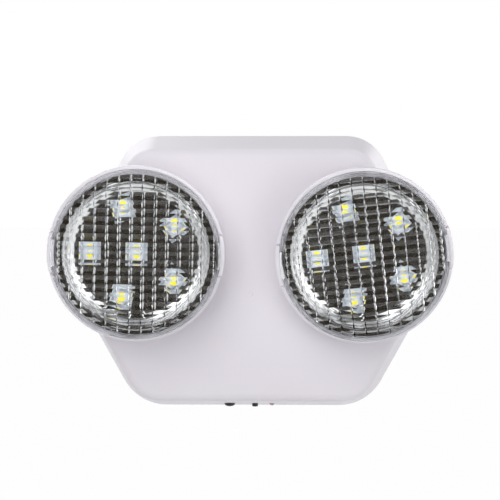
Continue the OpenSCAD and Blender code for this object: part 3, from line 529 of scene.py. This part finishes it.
def box(bm, size, centre, at):
    """Box of this size about a centre in the frame at."""
    bmesh.ops.create_cube(bm, size=1, matrix=at @ Matrix.Translation(centre)
                          @ Matrix.Diagonal((*size, 1)))


indicator = lathe(
    [(0, -INDICATOR_FLANGE), (INDICATOR_FLANGE_R, -INDICATOR_FLANGE),
     (INDICATOR_FLANGE_R, 0), (INDICATOR_R, 0)]
    + arc_points((0, INDICATOR_LEN - INDICATOR_R), INDICATOR_R, 0, 90, steps=9),
    CONTROL_STEPS)
indicator.transform(WALL @ downward(INDICATOR_X, INDICATOR_BACK_Y))
epoxy_faces = len(indicator.faces)
for side in SIDES.values():
    leg_x = INDICATOR_X + side * LEG_GAP
    box(indicator, (LEG_T, LEG_RUN, LEG_T),
        (leg_x, INDICATOR_BACK_Y + LEG_RUN / 2, CONTROL_Z), WALL)
    box(indicator, (LEG_T, LEG_T, CONTROL_Z - BOARD_TOP),
        (leg_x, INDICATOR_BACK_Y + LEG_RUN - LEG_T / 2, (CONTROL_Z + BOARD_TOP) / 2), WALL)
indicator.faces.ensure_lookup_table()
for face in indicator.faces[epoxy_faces:]:
    face.material_index = 1
add_piece("charge_indicator", indicator, "root", [EPOXY, TINNED],
          "indicator_led", PART)


# Swivels: each turntable is a white cup that turns in the housing's face, held inside by
# a ring nut on a fibre washer. Two steel pins carry the ball of the lamp head.
WASHER_FIBRE = moulded("washer_fibre", (0.2, 0.07, 0.03), gloss=0.6, grain=900,
                       depth=0.00003)
for name in SIDES:
    add_piece(name + "_turntable_cup", merged_copy(name + "_turntable", soft_edge=0.25),
              name + "_swivel", [WHITE_ABS], name + "_turntable", PART)
    paint(PLATE_ABS, name + "_swivel_nut")
    paint(WASHER_FIBRE, name + "_friction_washer")
    paint(BRIGHT_STEEL, name + "_tilt_pins")


# Head shells: round white ABS dishes, each on a hollow ball whose spigot is held in the
# floor of the dish by a steel nut. Two hooked tongues on the rim hold the lens.
for name in SIDES:
    add_piece(name + "_ball", merged_copy(name + "_ball_joint", soft_edge=0.2),
              name + "_head", [WHITE_ABS], name + "_ball_joint", PART)
    add_piece(name + "_dish", merged_copy(name + "_head_shell", soft_edge=0.25),
              name + "_head", [WHITE_ABS], name + "_head_shell", PART)
    paint(BRIGHT_STEEL, name + "_stem_nut", name + "_led_screws")
    paint(WHITE_LEAD, name + "_led_lead")


# LED boards: white boards with six white packages each, one in the middle and five in a
# ring. Every package has a round window of yellow phosphor, given a painted glow though the
# LEDs are not lit.
PIVOT_Z = 54
TOE_IN = {"left": math.radians(3), "right": math.radians(0.4)}
TIP_UP = {"left": math.radians(-3.5), "right": math.radians(-5.1)}
ROLL = {"left": math.radians(-1.3), "right": math.radians(6.2)}
LED_W = 25.0
LED_SIDE = 5.4
LED_H = 1.6
LED_ROUND = 0.15
LED_RING_R = 25.5
LED_ANGLES = [36 + 72 * i for i in range(5)]
WINDOW_FLOOR_R = 1.9
WINDOW_CUT_R = 2.46
WINDOW_DEPTH = 0.35
WINDOW_CUT_SPARE = 0.3
WINDOW_STEPS = 32
SAME_HEIGHT = 0.02
FACES_OUT = 0.9
BOARD_WHITE = moulded("board_white", (0.84, 0.88, 0.93), gloss=0.35, grain=900)
LED_WHITE = moulded("led_white", (0.86, 0.9, 0.96), gloss=0.3)
# The phosphor's emission is a painted glow: the LEDs are not lit, and it stands in for the
# light that the lens keeps from the windows.
PHOSPHOR_WITH_PAINTED_GLOW = moulded("phosphor", (0.9, 0.76, 0.03), gloss=0.35, grain=4000, depth=0.00003,
                   tone=0.12, Coat_Weight=0.6, Emission_Color=(0.9, 0.78, 0.04, 1),
                   Emission_Strength=0.45)


def head_place(name):
    """Frame of a head: z out of its lens, x along its two lens clips, from its pivot."""
    rise, run = math.tan(TIP_UP[name]), math.tan(TOE_IN[name])
    lean = math.atan(math.hypot(rise, run))
    turn = math.atan2(rise, -SIDES[name] * run)
    return (WALL @ Matrix.Translation((SIDES[name] * PIVOT_X, PIVOT_Y, PIVOT_Z))
            @ Matrix.Rotation(turn, 4, "Z") @ Matrix.Rotation(lean, 4, "Y")
            @ Matrix.Rotation(ROLL[name] - turn, 4, "Z"))


def led_places():
    """Frames of the six LEDs, on the top of their board."""
    up = Matrix.Translation((0, 0, LED_W))
    return [up] + [Matrix.Rotation(math.radians(a), 4, "Z")
                   @ Matrix.Translation((LED_RING_R, 0, 0)) @ up for a in LED_ANGLES]


packages, windows = bmesh.new(), bmesh.new()
for at in led_places():
    box(packages, (LED_SIDE, LED_SIDE, LED_H), (0, 0, LED_H / 2), at)
    rod(windows, WINDOW_FLOOR_R, LED_H - WINDOW_DEPTH, LED_H + WINDOW_CUT_SPARE, at,
        WINDOW_STEPS, WINDOW_CUT_R)
bmesh.ops.bevel(packages, geom=packages.edges[:], offset=LED_ROUND,
                segments=SOFT_EDGE_STEPS, profile=0.5, affect="EDGES", material=-1)
packages = carve(packages, windows, "DIFFERENCE")
for face in packages.faces:
    off_floor = abs(face.calc_center_median().z - (LED_W + LED_H - WINDOW_DEPTH))
    # The window floors take the phosphor with its painted glow.
    painted_glow_window = off_floor < SAME_HEIGHT and face.normal.z > FACES_OUT
    face.material_index = 1 if painted_glow_window else 0
for name in SIDES:
    paint(BOARD_WHITE, name + "_led_board")
    add_piece(name + "_led_packages", packages.copy(), name + "_head",
              [LED_WHITE, PHOSPHOR_WITH_PAINTED_GLOW], name + "_leds", head_place(name))
packages.free()


# Reflectors: thin plastic dishes, vacuum metallised to a mirror. Each has a flat floor
# with a square pocket for every LED, a steep side and a flat flange under the lens.
PAN_W = 29.5
PAN_T = 1.2
PAN_R = 33.5
MOUTH_R = 40.6
SIDE_STEPS = 10
FLANGE_TOP = 37.5
FLANGE_W = 36
FLANGE_R = 43.65
POCKET_SIDE = 12
POCKET_FLOOR = 7.2
POCKET_WALL = 0.7
POCKET_GAP = 0.4
POCKET_SIDES = 4
HEAD_STEPS = 128


def mirror_surface():
    """Vacuum metallised plastic: bright, with faint waviness and a few dull specks."""
    group, given, coords = new_surface(
        "mirror_surface",
        [("Colour", "Color", (0.9, 0.9, 0.9, 1)), ("Gloss", "Float", 0.03),
         ("Wave depth", "Float", 0.00001)])
    wave = add_node(group, "TexNoise", {"Vector": coords, "Scale": 90}).outputs["Fac"]
    shade = add_node(group, "Mix", {"Factor": 0.08, "A": given["Colour"], "B": wave},
                     data_type="RGBA", blend_type="MULTIPLY")
    return finish_surface(group, shade.outputs["Result"], given["Gloss"],
                          unevenness=0.04, mask=wave, relief=wave, depth=given["Wave depth"])


POLISHED = mirror_surface()
MIRROR = material_of("mirror_chrome", POLISHED, {"Colour": (0.9, 0.9, 0.91, 1)}, Metallic=1)

side_curve = arc_points((PAN_R, FLANGE_TOP), MOUTH_R - PAN_R, -90, 0, SIDE_STEPS,
                        rise=FLANGE_TOP - PAN_W)
dish = lathe([(0, PAN_W)] + side_curve
             + [(FLANGE_R, FLANGE_TOP), (FLANGE_R, FLANGE_W), (MOUTH_R + PAN_T, FLANGE_W)]
             + [(r + PAN_T, w - PAN_T) for r, w in side_curve[-3:0:-1]]
             + [(0, PAN_W - PAN_T)], HEAD_STEPS)
blocks, pockets = bmesh.new(), bmesh.new()
block_side = POCKET_SIDE + 2 * POCKET_WALL
block_h = PAN_W - PAN_T / 2 - LED_W - POCKET_GAP
widening = (POCKET_SIDE - POCKET_FLOOR) / (PAN_W - LED_W)
for at in led_places():
    box(blocks, (block_side, block_side, block_h), (0, 0, POCKET_GAP + block_h / 2), at)
    rod(pockets, (POCKET_FLOOR - widening) / math.sqrt(2), -CUTTER_NIB,
        PAN_W - LED_W + CUTTER_NIB, at @ Matrix.Rotation(math.radians(45), 4, "Z"),
        POCKET_SIDES, (POCKET_SIDE + widening) / math.sqrt(2))
dish = carve(dish, blocks, "UNION")
dish = carve(dish, pockets, "DIFFERENCE")
for name in SIDES:
    add_piece(name + "_mirror_dish", dish.copy(), name + "_head", [MIRROR],
              name + "_reflector", head_place(name))
dish.free()


# Lenses: clear polycarbonate cups over the reflectors. The inside of the face is moulded
# in rows of low prisms with steep ends, and the rim outside them is smooth and clear. A
# window in the skirt takes the hook of each tongue of the head shell.
LENS_R = 46.3
SKIRT_R = 44.0
FRONT_W = 46
LENS_T = 2.5
LENS_EDGE_R = 2
PRISM_W = 6.5
PRISM_H = 4.6
PRISM_DEPTH = 0.42
PRISM_END = 0.68
PRISM_WELD = 0.001
FIELD_R = 43.8
FIELD_T = 4
FIELD_EDGE_REACH = 3
HOOK_LOW = 38.7
HOOK_HIGH = 41.1
HOOK_W = 14.6
HOOK_CUT_T = 4
LENS_SMOOTH = 12


def prism_field():
    """Solid disc under the lens's face whose top is the print of the rows of prisms."""
    columns = 2 * math.ceil(FIELD_R / PRISM_W) + 1
    rows = 2 * math.ceil(FIELD_R / PRISM_H) + 1
    face_w = FRONT_W - LENS_T
    bm = bmesh.new()
    bmesh.ops.create_grid(bm, x_segments=columns, y_segments=rows, size=0.5,
                          matrix=Matrix.Diagonal((columns * PRISM_W, rows * PRISM_H, 1, 1)))
    grown = bmesh.ops.extrude_face_region(bm, geom=bm.faces[:])["geom"]
    bmesh.ops.translate(bm, verts=[v for v in grown if isinstance(v, bmesh.types.BMVert)],
                        vec=(0, 0, FIELD_T + PRISM_DEPTH))
    bmesh.ops.recalc_face_normals(bm, faces=bm.faces[:])
    cells = [f for f in bm.faces if f.normal.z > FACES_OUT]
    bmesh.ops.inset_individual(bm, faces=cells, thickness=PRISM_END, depth=-PRISM_DEPTH)
    for cell in cells:
        bmesh.ops.scale(bm, vec=(1, 0, 1), verts=cell.verts[:],
                        space=Matrix.Translation(-cell.calc_center_median()))
    bmesh.ops.remove_doubles(bm, verts=bm.verts[:], dist=PRISM_WELD)
    bmesh.ops.translate(bm, verts=bm.verts[:], vec=(0, 0, face_w - FIELD_T))
    round_edge = bmesh.new()
    rod(round_edge, FIELD_R, face_w - FIELD_EDGE_REACH, face_w + FIELD_EDGE_REACH, PART,
        HEAD_STEPS)
    return carve(bm, round_edge, "INTERSECT")


CLEAR_LENS = material_of("clear_lens", POLISHED,
                         {"Colour": (0.99, 1.0, 1.0, 1), "Gloss": 0.0, "Wave depth": 0.0},
                         Transmission_Weight=1, IOR=1.53)
lens = lathe([(0, FRONT_W - LENS_T), (SKIRT_R, FRONT_W - LENS_T), (SKIRT_R, FLANGE_W),
              (LENS_R, FLANGE_W)]
             + arc_points((LENS_R - LENS_EDGE_R, FRONT_W - LENS_EDGE_R), LENS_EDGE_R,
                          0, 90, steps=10)
             + [(0, FRONT_W)], HEAD_STEPS)
lens = carve(lens, prism_field(), "DIFFERENCE")
hook_cuts = bmesh.new()
for side in SIDES.values():
    box(hook_cuts, (HOOK_CUT_T, HOOK_W, HOOK_HIGH - HOOK_LOW),
        (side * (SKIRT_R + LENS_R) / 2, 0, (HOOK_LOW + HOOK_HIGH) / 2), PART)
lens = carve(lens, hook_cuts, "DIFFERENCE")
for name in SIDES:
    add_piece(name + "_clear_lens", lens.copy(), name + "_head", [CLEAR_LENS],
              name + "_lens", head_place(name), smooth=LENS_SMOOTH)
lens.free()


# Studio: a white floor well under the light, three large soft lamps around the camera,
# and the camera at about one metre. Mirrors and lenses see a room that is dark around the
# camera, brighter to the sides, and white to the upper left and to the right.
CAMERA_TURN = math.radians(1.42)
CAMERA_RISE = math.radians(3.3)
CAMERA_FAR = 1.003
camera = bpy.data.objects.new("camera", bpy.data.cameras.new("camera"))
back = Vector((math.sin(CAMERA_TURN) * math.cos(CAMERA_RISE),
               -math.cos(CAMERA_TURN) * math.cos(CAMERA_RISE), math.sin(CAMERA_RISE)))
camera.location = back * CAMERA_FAR
camera.rotation_euler = (-back).to_track_quat("-Z", "Y").to_euler()
camera.data.sensor_width = 36
camera.data.lens = 120
camera.data.shift_x = -0.00505
camera.data.shift_y = 0.04206
bpy.context.scene.collection.objects.link(camera)
bpy.context.scene.camera = camera
bpy.context.scene.view_settings.view_transform = "Standard"

LAMP_SIZE = 0.5
SOFT_LAMPS = {"soft_lamp_above": ((-0.2, -1.1, 0.55), 3.2),
              "soft_lamp_camera": ((-0.1, -1.15, 0.12), 3.9),
              "soft_lamp_right": ((0.4, -1.1, -0.1), 2.7)}
for name, (place, power) in SOFT_LAMPS.items():
    lamp = bpy.data.objects.new(name, bpy.data.lights.new(name, "AREA"))
    lamp.data.shape, lamp.data.size, lamp.data.energy = "SQUARE", LAMP_SIZE, power
    lamp.location = place
    lamp.rotation_euler = (-Vector(place)).to_track_quat("-Z", "Y").to_euler()
    lamp.visible_glossy = lamp.visible_transmission = False
    bpy.context.scene.collection.objects.link(lamp)

AMBIENT_TINT = (0.98, 0.975, 1, 1)
AMBIENT_FRONT = 0.21
AMBIENT_BEHIND = 1.6
AMBIENT_BLEND = 0.3
BACK_DIM = 0.45
BACK_DIM_TO = -0.35
ROOM_GLOW = 2.0
ROOM_SIDES = [(-180, 0.3), (-90, 0.5), (0, 0.6), (12, 1), (36, 1), (56, 0.17), (96, 0.17),
              (112, 1), (150, 1), (180, 0.3)]
DARK_TINT = (0.014, 0.011, 0.008, 1)
DARK_SQUEEZE = (1.6, 0, 0.85)
DARK_INNER = 0.3
DARK_OUTER = 0.55
THROUGH_TINT = (0.96, 0.98, 1, 1)
THROUGH_GLOW = 2.2

world = bpy.data.worlds.new("studio")
bpy.context.scene.world = world
world.use_nodes = True
sky = world.node_tree
ray = add_node(sky, "LightPath").outputs
direction = add_node(sky, "TexCoord").outputs["Generated"]
facing = add_node(sky, "VectorMath", {0: direction, 1: (0, -1, 0)},
                  operation="DOT_PRODUCT").outputs["Value"]

# What lights the pieces: weak from the front, and strongest from behind their sides.
ambient = add_node(sky, "MapRange",
                   {"Value": facing, "From Min": -AMBIENT_BLEND, "From Max": AMBIENT_BLEND,
                    "To Min": AMBIENT_BEHIND, "To Max": AMBIENT_FRONT}).outputs["Result"]
far_back = add_node(sky, "MapRange", {"Value": facing, "From Min": -1,
                                      "From Max": BACK_DIM_TO, "To Min": BACK_DIM})
level = add_node(sky, "Math", {0: ambient, 1: far_back.outputs["Result"]},
                 operation="MULTIPLY").outputs[0]
light = add_node(sky, "Background", {"Color": AMBIENT_TINT, "Strength": level}).outputs[0]

# What mirrors and lenses show: levels by the bearing about the camera's axis, with a dark
# upright oval around the camera.
parts = add_node(sky, "SeparateXYZ", {0: direction}).outputs
bearing = add_node(sky, "Math", {0: parts["Z"], 1: parts["X"]}, operation="ARCTAN2")
turn = add_node(sky, "MapRange", {"Value": bearing.outputs[0], "From Min": -math.pi,
                                  "From Max": math.pi}).outputs["Result"]
room = add_node(sky, "ValToRGB", {"Fac": turn})
room.color_ramp.interpolation = "EASE"
stops = room.color_ramp.elements
for bearing_deg, tone in ROOM_SIDES:
    stop = (bearing_deg + 180) / 360
    element = stops[0] if stop == 0 else stops[-1] if stop == 1 else stops.new(stop)
    element.color = (tone, tone, tone, 1)
squeezed = add_node(sky, "VectorMath", {0: direction, 1: DARK_SQUEEZE}, operation="MULTIPLY")
off = add_node(sky, "VectorMath", {0: squeezed.outputs["Vector"]}, operation="LENGTH")
oval = add_node(sky, "MapRange", {"Value": off.outputs["Value"], "From Min": DARK_OUTER,
                                  "From Max": DARK_INNER},
                interpolation_type="SMOOTHSTEP").outputs["Result"]
ahead = add_node(sky, "Math", {0: facing, 1: 0}, operation="GREATER_THAN").outputs[0]
middle = add_node(sky, "Math", {0: oval, 1: ahead}, operation="MULTIPLY").outputs[0]
around = add_node(sky, "Mix", {"Factor": middle, "A": room.outputs["Color"],
                               "B": DARK_TINT}, data_type="RGBA")
mirrored = add_node(sky, "Background", {"Color": around.outputs["Result"],
                                        "Strength": ROOM_GLOW}).outputs[0]

# What lights the pieces behind the lenses, where no lamp reaches, and the white backdrop.
through = add_node(sky, "Background", {"Color": THROUGH_TINT,
                                       "Strength": THROUGH_GLOW}).outputs[0]
lights_piece = add_node(sky, "Math", {0: ray["Diffuse Depth"], 1: 1}, operation="MINIMUM")
behind_glass = add_node(sky, "MixShader", {"Fac": lights_piece.outputs[0], 1: mirrored,
                                           2: through}).outputs[0]
seen = add_node(sky, "Math", {0: ray["Is Glossy Ray"], 1: ray["Is Transmission Ray"]},
                operation="MAXIMUM").outputs[0]
studio = add_node(sky, "MixShader", {"Fac": seen, 1: light, 2: behind_glass}).outputs[0]
backdrop = add_node(sky, "Background", {"Color": (1, 1, 1, 1)}).outputs[0]
whole = add_node(sky, "MixShader", {"Fac": ray["Is Camera Ray"], 1: studio, 2: backdrop})
sky.links.new(whole.outputs[0], sky.nodes["World Output"].inputs["Surface"])

FLOOR_Z = -0.35
FLOOR_FRONT = -0.15
FLOOR_HALF = 6
FLOOR_KEEP = 0.04
FLOOR_WHITE = (0.85, 0.85, 0.85, 1)
floor_bm = bmesh.new()
bmesh.ops.create_grid(floor_bm, x_segments=1, y_segments=1, size=FLOOR_HALF,
                      matrix=Matrix.Translation((0, FLOOR_FRONT + FLOOR_HALF, FLOOR_Z)))
floor_mesh = bpy.data.meshes.new("floor")
floor_bm.to_mesh(floor_mesh)
floor_bm.free()
floor = bpy.data.objects.new("floor", floor_mesh)
bpy.context.scene.collection.objects.link(floor)
paper = bpy.data.materials.new("white_paper")
paper.use_nodes = True
sheet = paper.node_tree
matt = sheet.nodes["Principled BSDF"]
matt.inputs["Base Color"].default_value = FLOOR_WHITE
matt.inputs["Roughness"].default_value = 0.9
ray = add_node(sheet, "LightPath").outputs
looked_at = add_node(sheet, "Math", {0: 1, 1: ray["Is Diffuse Ray"]}, operation="SUBTRACT")
white_share = add_node(sheet, "Math", {0: looked_at.outputs[0], 1: 1 - FLOOR_KEEP},
                       operation="MULTIPLY").outputs[0]
white = add_node(sheet, "Emission").outputs[0]
blend = add_node(sheet, "MixShader", {"Fac": white_share, 1: matt.outputs[0], 2: white})
sheet.links.new(blend.outputs[0], sheet.nodes["Material Output"].inputs["Surface"])
floor_mesh.materials.append(paper)

bpy.context.view_layer.update()
